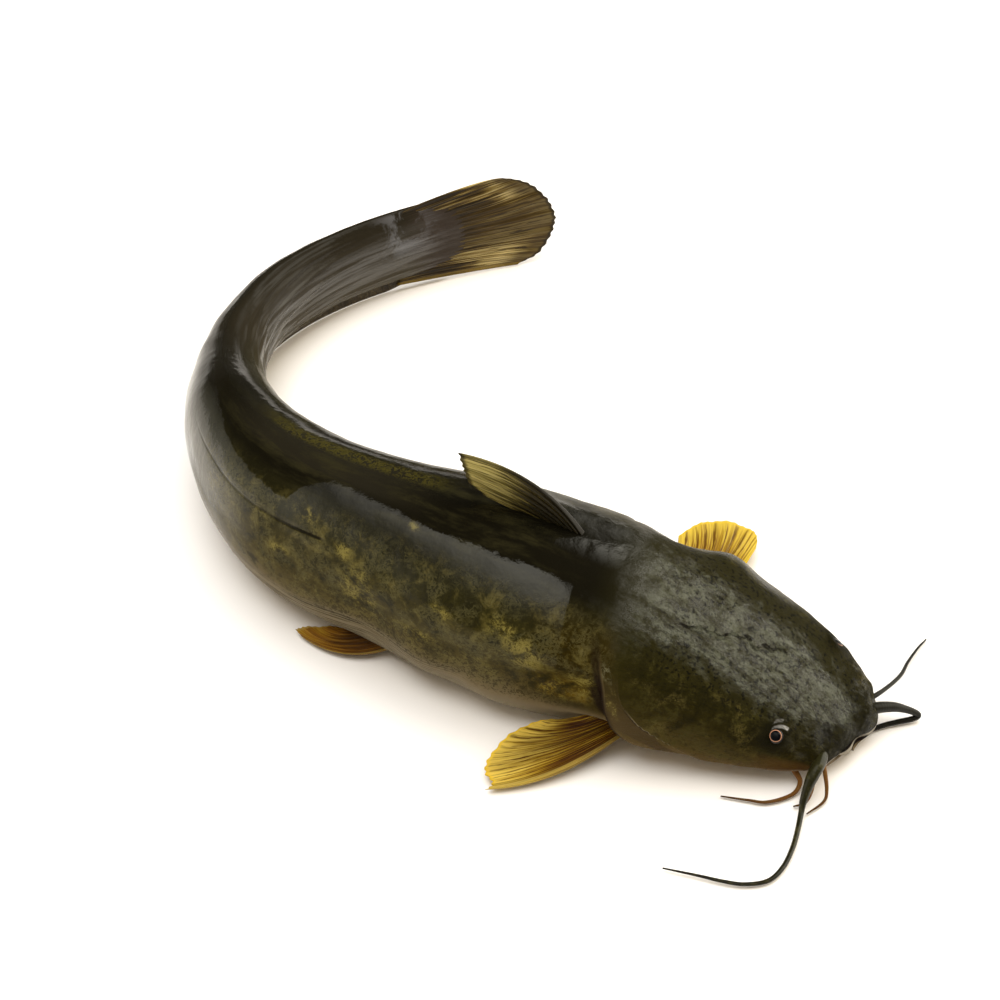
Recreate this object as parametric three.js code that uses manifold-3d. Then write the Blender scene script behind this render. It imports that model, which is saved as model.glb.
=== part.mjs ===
// A whole catfish at rest on its belly, the tail bent round to its left.
// Millimetres, +Z up, head towards +X, belly and tail edge on Z = 0.
// A station t runs along the bent backbone, 0 at the snout, 1 at the root of the tail fin.
// A place on the fish is [t, side, height]: side is to the fish's left, height above the floor.
import * as THREE from 'three';
import { mergeVertices } from 'three/addons/utils/BufferGeometryUtils.js';
import Module from 'manifold-3d';

// Body: length, snout position, heading of the backbone and the size of its sections.
const BODY_LENGTH = 635;
const SNOUT = [225, -108];
const SNOUT_ROUND = 0.055;
const HEADING_AT = [0, 0.1, 0.2, 0.3, 0.4, 0.5, 0.6, 0.7, 0.85, 1];
const HEADING_DEG = [149.5, 177, 183.5, 179, 175, 155, 131, 105.5, 59, 36];
const SECTION_AT = [0.05, 0.09, 0.14, 0.2, 0.3, 0.42, 0.5, 0.6, 0.7, 0.85, 0.93, 0.99, 1.01];
const HALF_WIDTH = [38.5, 47, 52, 54.5, 53.5, 41, 38, 28.5, 17.5, 9, 6.2, 2.6, 1];
const BACK_HEIGHT = [37, 51, 67.5, 82.5, 94.5, 96, 91, 82.5, 66.5, 57.5, 55.5, 54.5, 52.5];
const BELLY_AT = [0, 0.05, 0.1, 0.45, 0.55, 0.7, 0.98, 1.01];
const BELLY_HEIGHT = [4, 0, -2, -2, 3, 7, 8, 10];
const WIDEST_AT = [0, 0.1, 0.25, 0.45, 0.7, 1];
const WIDEST_SHARE = [0.5, 0.45, 0.42, 0.42, 0.52, 0.54];
const ROUND_ABOVE = [2.5, 2.6, 2.2, 2.1, 1.9, 1.9];
const ROUND_BELOW = [2.4, 2.5, 2.6, 2.5, 1.9, 1.7];
const LEAN_AT = [0, 0.75, 0.88, 1, 1.15];
const LEAN = [0, 0, 0.1, 0.2, 0.26];

// Hollows and swellings of the sides as [station, half length, height, from angle, to angle]
// over the angle down from the ridge: both flanks, then the left side of the head alone.
const FLANKS = [[0.316, 0.024, -4.5, 62, 86], [0.388, 0.038, -5.3, 62, 86]];
const LEFT_CHEEK = [[0.138, 0.016, 3.2, 20, 50], [0.178, 0.026, -3.9, 20, 50],
  [0.225, 0.025, 0.7, 20, 50]];
const GILL_HOLLOW = 7;
const SNOUT_BLUNT = 5;

// Head: gill cover edge as station over angle down from the ridge, its lift, and the furrow.
const GILL_ANGLE = [0, 30, 55, 70, 83, 91, 105, 120, 140, 180];
const GILL_AT = [0.214, 0.212, 0.207, 0.201, 0.198, 0.193, 0.179, 0.155, 0.13, 0.115];
const GILL_LIFT = 2.2;
const FURROW_DEPTH = 1.6;
const EYES = [[0.0556, -34.3, 33], [0.0556, 33.2, 30]];
const EYE_RADIUS = 3.7;
const MOUTH_HEIGHT = 10.5;
const MOUTH_GAP = 1.8;
const MOUTH_DEPTH = 5;
const MOUTH_CORNER = 0.062;

// Fins: places of the ray roots, of the ray middles and of the margin, first ray to last ray.
const DORSAL = {
  root: [[0.239, 8, 85], [0.252, 8.5, 86.5], [0.268, 8.5, 89]],
  mid: [[0.2835, 8, 114.5], [0.286, 8, 101], [0.288, 8, 91.5]],
  margin: [[0.344, 8, 121.5], [0.341, 8, 114.5], [0.339, 8, 108.5], [0.3345, 8, 103],
    [0.323, 8, 97.5]],
  rays: 7, rootHalf: 2.6, edgeHalf: 0.7, ridge: 0.5, cells: [14, 5],
};
const PECTORAL_RIGHT = {
  root: [[0.185, -44, 11], [0.193, -42, 16], [0.203, -40, 22]],
  mid: [[0.224, -72, 5], [0.236, -63, 11], [0.222, -47, 19]],
  margin: [[0.268, -90, 3], [0.265, -86, 4], [0.272, -82, 5], [0.273, -74, 7],
    [0.266, -62, 10], [0.253, -53, 13], [0.238, -49, 16]],
  rays: 12, rootHalf: 3.2, edgeHalf: 0.7, ridge: 0.45, cells: [22, 4],
};
const PECTORAL_LEFT = {
  root: [[0.144, 40, 15], [0.163, 40, 18], [0.18, 40, 22]],
  mid: [[0.1355, 76, 12], [0.153, 77, 16], [0.183, 64, 21]],
  margin: [[0.132, 96, 9], [0.1345, 105.5, 9.5], [0.1415, 108, 10], [0.154, 108, 12],
    [0.168, 103, 14], [0.178, 95, 17], [0.187, 82, 20]],
  rays: 12, rootHalf: 3.2, edgeHalf: 0.7, ridge: 0.45, cells: [22, 4],
};
const PELVIC_RIGHT = {
  root: [[0.376, -25, 7], [0.389, -21, 8], [0.404, -18, 8]],
  mid: [[0.41, -42, 4], [0.418, -38, 6], [0.414, -29, 8.5]],
  margin: [[0.4445, -42, 3], [0.4505, -40.5, 3.5], [0.445, -38, 5], [0.435, -35.5, 6],
    [0.424, -33, 7]],
  rays: 8, rootHalf: 2.4, edgeHalf: 0.7, ridge: 0.4, cells: [12, 4],
};
const CAUDAL = {
  root: [[0.93, 0, 4.6], [0.95, 0, 29], [0.93, 0, 53]],
  mid: [[1.005, 0, 1.8], [1.035, 0, 29], [1.005, 0, 59]],
  margin: [[1.056, 0, 0.9], [1.08, 0, 6.5], [1.095, 0, 19], [1.099, 0, 30],
    [1.09, 0, 43], [1.071, 0, 54.5], [1.046, 0, 60.3]],
  rays: 16, rootHalf: 2.6, edgeHalf: 0.6, ridge: 0.4, cells: [28, 4],
};
const ANAL_FROM = 0.47;
const ANAL_TO = 0.975;
const ANAL_SWAY = -2.5;
const ANAL_RISE = 3.6;

// Barbels: centre line as [forward, left, height] from the snout, radius along it.
const BARBELS = [
  { path: [[-22, -6, 15], [-18.5, -12, 18], [-18.5, -18, 18], [-19.7, -23.7, 16],
    [-20.6, -28.7, 12], [-21, -33.8, 7.4], [-20.6, -38, 4.6], [-20, -46.4, 2.8],
    [-20, -57, 2.3], [-21.8, -68.4, 2.1], [-26.5, -77.5, 2], [-36, -83, 2], [-46, -85, 2],
    [-57.5, -86, 2], [-74, -88, 2]],
    radius: [2.6, 3, 3.3, 3.2, 2.7, 2.2, 1.45, 1.3, 1.25, 1.2, 1.1, 1, 0.9, 0.7, 0.4] },
  { path: [[-16, 12, 12], [-3, 22, 17], [7, 30, 14], [15, 35, 9], [21, 37.5, 4.6],
    [19, 35.5, 2.8], [12, 31, 2.4], [5, 26, 2.2], [-7, 15, 2]],
    radius: [3.2, 3, 2.6, 1.9, 1.6, 1.5, 1.4, 1.3, 1] },
  { path: [[-12, 20, 16], [-3, 29, 18], [3, 41, 14], [8, 56, 8], [10, 69, 4], [13, 81, 2],
    [16, 89, 1.2]],
    radius: [1.5, 1.4, 1.2, 1.1, 0.9, 0.7, 0.5] },
  { path: [[-28, -12, 9], [-29, -17, 7], [-25, -21, 4], [-27, -28, 2], [-37, -36, 1.8],
    [-46, -38, 1.6], [-59, -40, 1.2]],
    radius: [2, 1.7, 1.3, 1.1, 0.9, 0.7, 0.5] },
  { path: [[-18, -10, 12], [-15, -17, 12], [-12, -22, 5], [-12, -27, 2.2], [-18, -36, 1.6]],
    radius: [1.4, 1.2, 1, 0.8, 0.5] },
  { path: [[-22, -9, 8], [-19, -21, 4], [-20, -30, 2], [-25, -34, 1.4]],
    radius: [1.4, 1.2, 0.9, 0.5] },
];
const BARBEL_SIDES = 7;

// Mesh density of the body.
const HEAD_STATIONS = 28;
const HEAD_END = 0.24;
const TRUNK_STATIONS = 38;
const BODY_END = 1.01;
const RING_POINTS = 36;

const DEG = Math.PI / 180;

// A smooth curve through (at, value) pairs that never swings past them.
function through(at, value) {
  const n = at.length;
  const slope = [];
  for (let i = 0; i < n - 1; i += 1) {
    slope.push((value[i + 1] - value[i]) / (at[i + 1] - at[i]));
  }
  const tangent = at.map((_, i) => {
    if (i === 0) return slope[0];
    if (i === n - 1) return slope[n - 2];
    const product = slope[i - 1] * slope[i];
    return product > 0 ? (2 * product) / (slope[i - 1] + slope[i]) : 0;
  });
  return (x) => {
    if (x <= at[0]) return value[0] + tangent[0] * (x - at[0]);
    if (x >= at[n - 1]) return value[n - 1] + tangent[n - 1] * (x - at[n - 1]);
    let i = 0;
    while (x > at[i + 1]) i += 1;
    const h = at[i + 1] - at[i];
    const u = (x - at[i]) / h;
    return (1 + 2 * u) * (1 - u) ** 2 * value[i] + u * (1 - u) ** 2 * h * tangent[i]
      + u * u * (3 - 2 * u) * value[i + 1] + u * u * (u - 1) * h * tangent[i + 1];
  };
}

const smoothStep = (a, b, x) => {
  const u = Math.min(1, Math.max(0, (x - a) / (b - a)));
  return u * u * (3 - 2 * u);
};
const signedPower = (x, p) => Math.sign(x) * Math.abs(x) ** p;
const swellings = (list, t, down) => list.reduce((sum, [at, width, height, from, to]) => (
  sum + height * Math.exp(-(((t - at) / width) ** 2)) * smoothStep(from, to, down)), 0);

const heading = through(HEADING_AT, HEADING_DEG);
const halfWidth = through(SECTION_AT, HALF_WIDTH);
const backHeight = through(SECTION_AT, BACK_HEIGHT);
const bellyHeight = through(BELLY_AT, BELLY_HEIGHT);
const widestShare = through(WIDEST_AT, WIDEST_SHARE);
const roundAbove = through(WIDEST_AT, ROUND_ABOVE);
const roundBelow = through(WIDEST_AT, ROUND_BELOW);
const lean = through(LEAN_AT, LEAN);
const gillEdge = through(GILL_ANGLE, GILL_AT);

// Backbone in plan: the heading summed up in small steps from the snout.
const STEPS = 240;
const STEP = 1.2 / STEPS;
const backbone = [{ x: SNOUT[0], y: SNOUT[1] }];
const headingAt = (t) => heading(Math.min(t, 1)) * DEG;
for (let i = 1; i <= STEPS; i += 1) {
  const last = backbone[i - 1];
  const h = headingAt((i - 0.5) * STEP);
  const run = STEP * BODY_LENGTH;
  backbone.push({ x: last.x + Math.cos(h) * run, y: last.y + Math.sin(h) * run });
}

// Point at station t, side to the fish's left and height z; the tail leans over with height.
function place(t, side, z) {
  const f = Math.min(Math.max(t / STEP, 0), STEPS - 1e-6);
  const i = Math.floor(f);
  const k = f - i;
  const x = backbone[i].x * (1 - k) + backbone[i + 1].x * k;
  const y = backbone[i].y * (1 - k) + backbone[i + 1].y * k;
  const h = headingAt(t);
  const across = side - z * lean(t);
  return new THREE.Vector3(x + Math.sin(h) * across, y - Math.cos(h) * across, z);
}

// Point of the skin at station t and angle a, 90 degrees on the ridge and 180 on the right.
function skin(t, a) {
  const r = Math.min(1, Math.max(0, 1 - t / SNOUT_ROUND));
  const swell = (1 - r ** 2.15) ** (1 / 2.15);
  const top = backHeight(t);
  const bottom = bellyHeight(t);
  const wide = bottom + widestShare(t) * (top - bottom);
  const c = Math.cos(a);
  const s = Math.sin(a);
  const power = 2 / (s > 0 ? roundAbove(t) : roundBelow(t));
  const up = ((a / DEG + 90) % 360) - 180;
  const down = Math.abs(up);
  const right = smoothStep(-20, 20, up);
  const edge = gillEdge(down);
  const behind = (t - edge) * BODY_LENGTH;
  const hollow = smoothStep(0, 4, behind) * (1 - smoothStep(20, 100, behind))
    * smoothStep(62, 84, down);
  const offBelly = 1 - smoothStep(115, 145, down);
  const cover = smoothStep(edge - 0.05, edge - 0.006, t) * (1 - smoothStep(edge, edge + 0.01, t));
  const flap = cover * smoothStep(35, 75, down) * (1 - smoothStep(150, 175, down));
  const furrow = smoothStep(0.05, 0.09, t) * (1 - smoothStep(0.15, 0.2, t));
  const dip = furrow * Math.exp(-((down / 9) ** 2));
  const grow = GILL_LIFT * flap * right - FURROW_DEPTH * dip
    + (swellings(FLANKS, t, down) - GILL_HOLLOW * hollow) * offBelly
    + swellings(LEFT_CHEEK, t, down) * (1 - right);
  const onRight = 0.5 + (smoothStep(-40, 30, up) - 0.5) * smoothStep(0, 0.004, t);
  const back = SNOUT_BLUNT * onRight * (1 - smoothStep(0.001, 0.016, t));
  const side = signedPower(c, power) * (halfWidth(t) + grow) * swell;
  const reach = (s > 0 ? top - wide : wide - bottom) + grow;
  const z = wide + reach * signedPower(s, power) * swell;
  return place(t + back / BODY_LENGTH, side, Math.max(z, 0));
}

const wasm = await Module();
wasm.setup();

// Solid from a list of points and a list of triangles, all turned to face outwards.
function solidOf(points, triangles) {
  let volume = 0;
  for (let i = 0; i < triangles.length; i += 3) {
    const [a, b, c] = [0, 1, 2].map((k) => points[triangles[i + k]]);
    volume += new THREE.Vector3().crossVectors(b, c).dot(a);
  }
  if (volume < 0) triangles.reverse();
  const mesh = new wasm.Mesh({
    numProp: 3,
    vertProperties: new Float32Array(points.flatMap((p) => [p.x, p.y, p.z])),
    triVerts: new Uint32Array(triangles),
  });
  return new wasm.Manifold(mesh);
}

// Solid from a closed three.js geometry.
function solidFrom(geometry) {
  const bare = geometry.clone();
  bare.deleteAttribute('normal');
  bare.deleteAttribute('uv');
  const merged = mergeVertices(bare, 1e-4);
  const mesh = new wasm.Mesh({
    numProp: 3,
    vertProperties: new Float32Array(merged.attributes.position.array),
    triVerts: new Uint32Array(merged.index.array),
  });
  return new wasm.Manifold(mesh);
}

// Solid skinned over rings of points, with a centre point closing each end.
function ringed(rings) {
  const n = rings[0].length;
  const points = rings.flat();
  const triangles = [];
  for (let i = 0; i < rings.length - 1; i += 1) {
    for (let j = 0; j < n; j += 1) {
      const a = i * n + j;
      const b = i * n + ((j + 1) % n);
      triangles.push(a, b, a + n, b, b + n, a + n);
    }
  }
  [0, rings.length - 1].forEach((i) => {
    const centre = new THREE.Vector3();
    rings[i].forEach((p) => centre.addScaledVector(p, 1 / n));
    const c = points.length;
    points.push(centre);
    for (let j = 0; j < n; j += 1) {
      const a = i * n + j;
      const b = i * n + ((j + 1) % n);
      if (i === 0) triangles.push(c, b, a);
      else triangles.push(c, a, b);
    }
  });
  return solidOf(points, triangles);
}

function bodySolid() {
  const stations = [0.0008];
  for (let i = 1; i <= HEAD_STATIONS; i += 1) {
    stations.push(HEAD_END * (i / HEAD_STATIONS) ** 1.25);
  }
  for (let i = 1; i <= TRUNK_STATIONS; i += 1) {
    stations.push(HEAD_END + ((BODY_END - HEAD_END) * i) / TRUNK_STATIONS);
  }
  return ringed(stations.map((t) => {
    const ring = [];
    for (let j = 0; j < RING_POINTS; j += 1) {
      ring.push(skin(t, (j / RING_POINTS) * 2 * Math.PI));
    }
    return ring;
  }));
}

// Slab of varying half thickness about a surface given over the unit square.
function slab(surface, half, cells) {
  const [nu, nv] = cells;
  const points = [];
  const step = 1e-3;
  for (const face of [1, -1]) {
    for (let i = 0; i <= nu; i += 1) {
      for (let j = 0; j <= nv; j += 1) {
        const u = i / nu;
        const v = j / nv;
        const du = surface(Math.min(u + step, 1), v).sub(surface(Math.max(u - step, 0), v));
        const dv = surface(u, Math.min(v + step, 1)).sub(surface(u, Math.max(v - step, 0)));
        const normal = du.cross(dv).normalize();
        points.push(surface(u, v).addScaledVector(normal, face * half(u, v)));
      }
    }
  }
  const row = nv + 1;
  const size = (nu + 1) * row;
  const triangles = [];
  for (let i = 0; i < nu; i += 1) {
    for (let j = 0; j < nv; j += 1) {
      const a = i * row + j;
      triangles.push(a, a + row, a + 1, a + row, a + row + 1, a + 1);
      const b = a + size;
      triangles.push(b, b + 1, b + row, b + row, b + 1, b + row + 1);
    }
  }
  const rim = [];
  for (let i = 0; i < nu; i += 1) rim.push(i * row);
  for (let j = 0; j < nv; j += 1) rim.push(nu * row + j);
  for (let i = nu; i > 0; i -= 1) rim.push(i * row + nv);
  for (let j = nv; j > 0; j -= 1) rim.push(j);
  rim.forEach((a, k) => {
    const b = rim[(k + 1) % rim.length];
    triangles.push(a, a + size, b, b, a + size, b + size);
  });
  return solidOf(points, triangles);
}

// Fin blade: every ray bends from its root past its middle to the margin.
function fin({ root, mid, margin, rays, rootHalf, edgeHalf, ridge, cells }) {
  const along = (list) => new THREE.CatmullRomCurve3(list.map((p) => place(...p)));
  const [from, past, to] = [root, mid, margin].map(along);
  const surface = (u, v) => {
    const a = from.getPoint(u);
    const m = past.getPoint(u);
    const b = to.getPoint(u);
    return a.multiplyScalar((1 - v) * (1 - 2 * v))
      .addScaledVector(m, 4 * v * (1 - v))
      .addScaledVector(b, v * (2 * v - 1));
  };
  const half = (u, v) => {
    const web = rootHalf + (edgeHalf - rootHalf) * Math.sqrt(v);
    const ray = 0.5 + 0.5 * Math.cos(2 * Math.PI * rays * u);
    return web * (u === 0 || u === 1 ? 0.7 : 1) + ridge * ray * (1 - v);
  };
  return slab(surface, half, cells);
}

const mirrored = (spec) => {
  const flip = (list) => list.map(([t, side, z]) => [t, -side, z]);
  return { ...spec, root: flip(spec.root), mid: flip(spec.mid), margin: flip(spec.margin) };
};

// Long low fin under the tail, its free edge on the floor.
function analFin() {
  const surface = (u, v) => {
    const t = ANAL_FROM + (ANAL_TO - ANAL_FROM) * u;
    const top = Math.max(bellyHeight(t), 0) + 5;
    const low = 0.6 + ANAL_RISE * smoothStep(0.915, 0.955, t);
    return place(t, ANAL_SWAY * v * v, top * (1 - v) + low * v);
  };
  return slab(surface, (u, v) => 1.8 - 1.2 * v, [34, 2]);
}

// Barbel: a round tapering tentacle along a smooth path from the snout.
function barbel({ path, radius }) {
  const curve = new THREE.CatmullRomCurve3(path.map(([forward, left, z]) => (
    new THREE.Vector3(SNOUT[0] + forward, SNOUT[1] + left, z)
  )));
  const last = radius.length - 1;
  const thick = through(radius.map((_, i) => i / last), radius);
  const count = 2 * last + 4;
  const rings = [];
  for (let i = 0; i <= count; i += 1) {
    const centre = curve.getPoint(i / count);
    const along = curve.getTangent(i / count);
    const across = along.clone().cross(new THREE.Vector3(0.02, 0.01, 1)).normalize();
    const upward = across.clone().cross(along);
    const ring = [];
    for (let j = 0; j < BARBEL_SIDES; j += 1) {
      const a = (j / BARBEL_SIDES) * 2 * Math.PI;
      const out = across.clone().multiplyScalar(Math.cos(a))
        .addScaledVector(upward, Math.sin(a));
      ring.push(centre.clone().addScaledVector(out, thick(i / count)));
    }
    rings.push(ring);
  }
  return ringed(rings);
}

function eye(spot) {
  const ball = new THREE.SphereGeometry(EYE_RADIUS, 14, 9);
  const at = place(...spot);
  ball.translate(at.x, at.y, at.z);
  return solidFrom(ball);
}

// Slot of the mouth: a level band that follows the lips from corner to corner.
function mouthSlot() {
  const outer = [];
  const inner = [];
  const steps = 14;
  for (let i = -steps; i <= steps; i += 1) {
    const t = MOUTH_CORNER * (i / steps) ** 2 + 0.0015;
    const side = Math.sign(i || 1);
    const edge = skin(t, side > 0 ? Math.PI : 0);
    const centre = place(Math.max(t, 0.03) + 0.02, 0, 0);
    const away = new THREE.Vector2(edge.x - centre.x, edge.y - centre.y).normalize();
    const bite = MOUTH_DEPTH * (1 - 0.9 * Math.abs(i / steps));
    outer.push(new THREE.Vector2(edge.x, edge.y).addScaledVector(away, 6));
    inner.push(new THREE.Vector2(edge.x, edge.y).addScaledVector(away, -bite));
  }
  const outline = new THREE.Shape([...outer, ...inner.reverse()]);
  const band = new THREE.ExtrudeGeometry(outline, { depth: MOUTH_GAP, bevelEnabled: false });
  band.translate(0, 0, MOUTH_HEIGHT - MOUTH_GAP / 2);
  return solidFrom(band);
}

let fish = bodySolid().subtract(mouthSlot());
const added = [
  fin(DORSAL), fin(PECTORAL_RIGHT), fin(PECTORAL_LEFT), fin(PELVIC_RIGHT),
  fin(mirrored(PELVIC_RIGHT)), fin(CAUDAL), analFin(),
  ...EYES.map(eye), ...BARBELS.map(barbel),
];
added.forEach((piece) => {
  fish = fish.add(piece);
});

// The finished solid as a three.js mesh, centred in plan with its lowest point on Z = 0.
const { vertProperties, triVerts } = fish.getMesh();
const geometry = new THREE.BufferGeometry();
geometry.setAttribute('position', new THREE.BufferAttribute(new Float32Array(vertProperties), 3));
geometry.setIndex(new THREE.BufferAttribute(new Uint32Array(triVerts), 1));
geometry.computeBoundingBox();
const box = geometry.boundingBox;
geometry.translate(-(box.min.x + box.max.x) / 2, -(box.min.y + box.max.y) / 2, -box.min.z);
geometry.computeVertexNormals();

const wetSkin = new THREE.MeshStandardMaterial({ color: 0x2b2a18, roughness: 0.3, metalness: 0 });
const mesh = new THREE.Mesh(geometry, wetSkin);
mesh.name = 'catfish';
const part = new THREE.Group();
part.name = 'whole_catfish';
part.add(mesh);
export default part;
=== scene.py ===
import functools
import math

import bpy
import numpy as np
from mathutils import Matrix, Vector


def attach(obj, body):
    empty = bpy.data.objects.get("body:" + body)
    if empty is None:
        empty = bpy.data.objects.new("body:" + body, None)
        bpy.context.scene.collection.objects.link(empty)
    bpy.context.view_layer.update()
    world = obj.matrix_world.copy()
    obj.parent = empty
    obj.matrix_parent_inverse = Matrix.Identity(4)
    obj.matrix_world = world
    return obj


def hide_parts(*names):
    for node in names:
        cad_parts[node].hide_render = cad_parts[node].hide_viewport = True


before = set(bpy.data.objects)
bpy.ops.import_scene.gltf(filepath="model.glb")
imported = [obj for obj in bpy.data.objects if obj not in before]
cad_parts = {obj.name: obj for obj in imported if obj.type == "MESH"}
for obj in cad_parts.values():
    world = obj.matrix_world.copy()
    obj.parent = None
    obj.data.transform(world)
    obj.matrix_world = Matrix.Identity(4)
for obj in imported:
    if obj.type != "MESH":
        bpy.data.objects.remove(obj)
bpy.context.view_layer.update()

# Camera, floor and studio light. The camera stands in front of the fish's right side and
# looks steeply down. The floor is a plain white sweep, lit by an even overhead glow and by
# large soft boxes; the back edge of the one above the near side stands over the ridge.
AIM = (-0.0305, -0.0121, 0.0)
DISTANCE = 0.948
ELEVATION = math.radians(46.6)
TURN = math.radians(20.0)
view_camera = bpy.data.objects.new("view_camera", bpy.data.cameras.new("view_camera"))
view_camera.data.lens = 61.2
view_camera.data.sensor_width = 36.0
view_camera.data.clip_start = 0.05
view_camera.data.clip_end = 60.0
view_camera.rotation_euler = (math.pi / 2 - ELEVATION, 0.0, TURN)
view_camera.location = (
    AIM[0] + DISTANCE * math.cos(ELEVATION) * math.sin(TURN),
    AIM[1] - DISTANCE * math.cos(ELEVATION) * math.cos(TURN),
    AIM[2] + DISTANCE * math.sin(ELEVATION))
bpy.context.collection.objects.link(view_camera)
bpy.context.scene.camera = view_camera
bpy.context.scene.view_settings.view_transform = "Standard"


def add(kind, inputs=None, **options):
    """One shader node of a kind in the tree begun last; options are its settings, inputs its
    socket values or links."""
    made = tree.nodes.new("ShaderNode" + kind)
    for key, value in options.items():
        setattr(made, key, value)
    for key, value in (inputs or {}).items():
        socket = made.inputs[key]
        if isinstance(value, bpy.types.NodeSocket):
            tree.links.new(value, socket)
        else:
            socket.default_value = value
    return made


def empty_tree(owner):
    """Begins the node tree of a material or world afresh; add() puts its nodes into it."""
    global tree
    owner.use_nodes = True
    tree = owner.node_tree
    tree.nodes.clear()


def new_material(name):
    """A node material whose tree is begun afresh."""
    material = bpy.data.materials.new(name)
    empty_tree(material)
    return material


def show(shader, kind="Material"):
    """Joins a shader to the output of the tree begun last."""
    add("Output" + kind, {0: shader.outputs[0]})


def mesh_object(name, points, faces, fields=None, smooth=True):
    """An object at the origin from points in metres, a list or array of faces, and one number
    per point for each field."""
    mesh = bpy.data.meshes.new(name)
    mesh.from_pydata(points.tolist(), [], faces.tolist() if hasattr(faces, "tolist") else faces)
    mesh.polygons.foreach_set("use_smooth", np.full(len(mesh.polygons), smooth))
    mesh.update()
    for key, values in (fields or {}).items():
        mesh.attributes.new(key, "FLOAT", "POINT").data.foreach_set(
            "value", values.astype(np.float32))
    made = bpy.data.objects.new(name, mesh)
    bpy.context.collection.objects.link(made)
    return made


floor_points = np.array([[-8, -8, 0], [8, -8, 0], [8, 8, 0], [-8, 8, 0]], float)
floor = mesh_object("floor", floor_points - [0, 0, 0.0004], [[0, 1, 2, 3]], smooth=False)
floor_white = new_material("floor_white")
show(add("BsdfPrincipled", {"Base Color": (0.9, 0.9, 0.9, 1), "Roughness": 0.9,
    "Specular IOR Level": 0.1}))
floor.data.materials.append(floor_white)

world = bpy.data.worlds.new("studio")
bpy.context.scene.world = world
empty_tree(world)
toward = add("TexCoord").outputs["Generated"]


def facing(axis):
    """How far a direction of the surroundings leans along an axis, from -1 to 1."""
    return add("VectorMath", {0: toward, 1: axis}, operation="DOT_PRODUCT").outputs["Value"]


def span(value, a, b, low=0.0, high=1.0):
    """Smooth step of a value from low at a to high at b."""
    return add("MapRange", {"Value": value, "From Min": a, "From Max": b, "To Min": low,
        "To Max": high}, interpolation_type="SMOOTHSTEP").outputs[0]


def sums(kind, *values):
    """Arithmetic of a kind on up to three values or sockets."""
    return add("Math", dict(enumerate(values)), operation=kind).outputs[0]


def product(*values):
    """All the values multiplied together."""
    return functools.reduce(lambda a, b: sums("MULTIPLY", a, b), values)


def total(*values):
    """All the values added together."""
    return functools.reduce(lambda a, b: sums("ADD", a, b), values)


def scaled(a, b, c):
    """a times b, plus c."""
    return sums("MULTIPLY_ADD", a, b, c)


def larger(a, b):
    """The larger of two values."""
    return sums("MAXIMUM", a, b)


def between(value, a, b, c, d):
    """1 where a value lies from b to c, fading to 0 at a below and at d above."""
    return product(span(value, a, b), span(value, d, c))


# Soft boxes round the fish, each given by how far directions lean to the camera's right, away
# from it and upwards. The first one's straight back edge runs over the ridge of the trunk.
to_right = facing((0.9397, 0.342, 0.0))
to_back = facing((-0.342, 0.9397, 0.0))
to_top = facing((0.0, 0.0, 1.0))
to_edge = facing((-0.0983, -0.9942, 0.0445))
over_trunk = product(span(to_edge, 0.0, 0.012), span(to_right, 0.36, 0.2),
    span(to_right, -0.85, -0.5, 0.35, 1.0), scaled(sums("POWER", to_top, 6.0), 1.75, 0.06))
over_head = product(span(to_right, 0.3, 0.45), between(to_back, -0.26, -0.1, 0.56, 0.7), 3.3)
far_right = product(span(to_right, 0.25, 0.5), span(to_back, 0.55, 0.8), span(to_top, 0.6, 0.35))
far_left = span(to_right, -0.6, -0.97)
light_sum = total(over_trunk, over_head, far_right, far_left, 0.03)
ray = add("LightPath")
seen = add("Background", {"Color": (1, 1, 1, 1), "Strength": 1.0})
tint = add("Mix", {0: ray.outputs["Is Diffuse Ray"], 6: (1, 0.965, 0.84, 1), 7: (1, 0.84, 0.62, 1)},
    data_type="RGBA").outputs[2]
boxes = add("Background", {"Color": tint, "Strength": light_sum})
fill = add("Background",
    {"Color": (1, 0.62, 0.36, 1), "Strength": product(ray.outputs["Is Diffuse Ray"], 0.1)})
felt = add("AddShader", {0: boxes.outputs[0], 1: fill.outputs[0]})
show(add("MixShader", {0: ray.outputs["Is Camera Ray"], 1: felt.outputs[0], 2: seen.outputs[0]}),
    "World")

glow = bpy.data.objects.new("glow", bpy.data.lights.new("glow", "SUN"))
glow.data.energy = 3.2
glow.data.angle = math.radians(60)
glow.data.color = (0.97, 0.99, 1.0)
glow.rotation_euler = Vector((0.16, -0.12, -1.0)).to_track_quat("-Z", "Y").to_euler()
glow.visible_glossy = False
bpy.context.collection.objects.link(glow)

# Skin. One wet scaleless skin covers body and head; the backbone bends it in plan and each
# section is a rounded oval, flat where it lies on the floor. The gill covers are flaps that
# end in a free edge, and the mouth is a slot round the front of the snout.
MM = 0.001
LENGTH = 635.0
SNOUT = (194.544, -120.145)
SNOUT_ROUND = 0.055
SNOUT_POWER = 2.15
HEADING_AT = (0, 0.1, 0.2, 0.3, 0.4, 0.5, 0.6, 0.7, 0.85, 1)
HEADING_DEG = (149.5, 177, 183.5, 179, 175, 155, 131, 105.5, 59, 36)
TAIL_END = 1.01
SECTION_AT = (0.05, 0.09, 0.14, 0.2, 0.3, 0.42, 0.5, 0.6, 0.7, 0.85, 0.93, 0.99, 1.01)
HALF_WIDTH = (38.5, 47, 52, 54.5, 53.5, 41, 38, 28.4, 17.45, 9, 6.2, 2.6, 1.0)
BACK_HEIGHT = (37, 51, 67.5, 82.5, 94.5, 96, 91, 82.5, 66.5, 57.5, 55.5, 54.5, 52.5)
BELLY_AT = (0, 0.05, 0.1, 0.45, 0.55, 0.7, 0.98, 1.01)
BELLY_HEIGHT = (4, 0, -2, -2, 3, 7, 8, 10)
WIDEST_AT = (0, 0.1, 0.25, 0.45, 0.7, 1)
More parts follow.
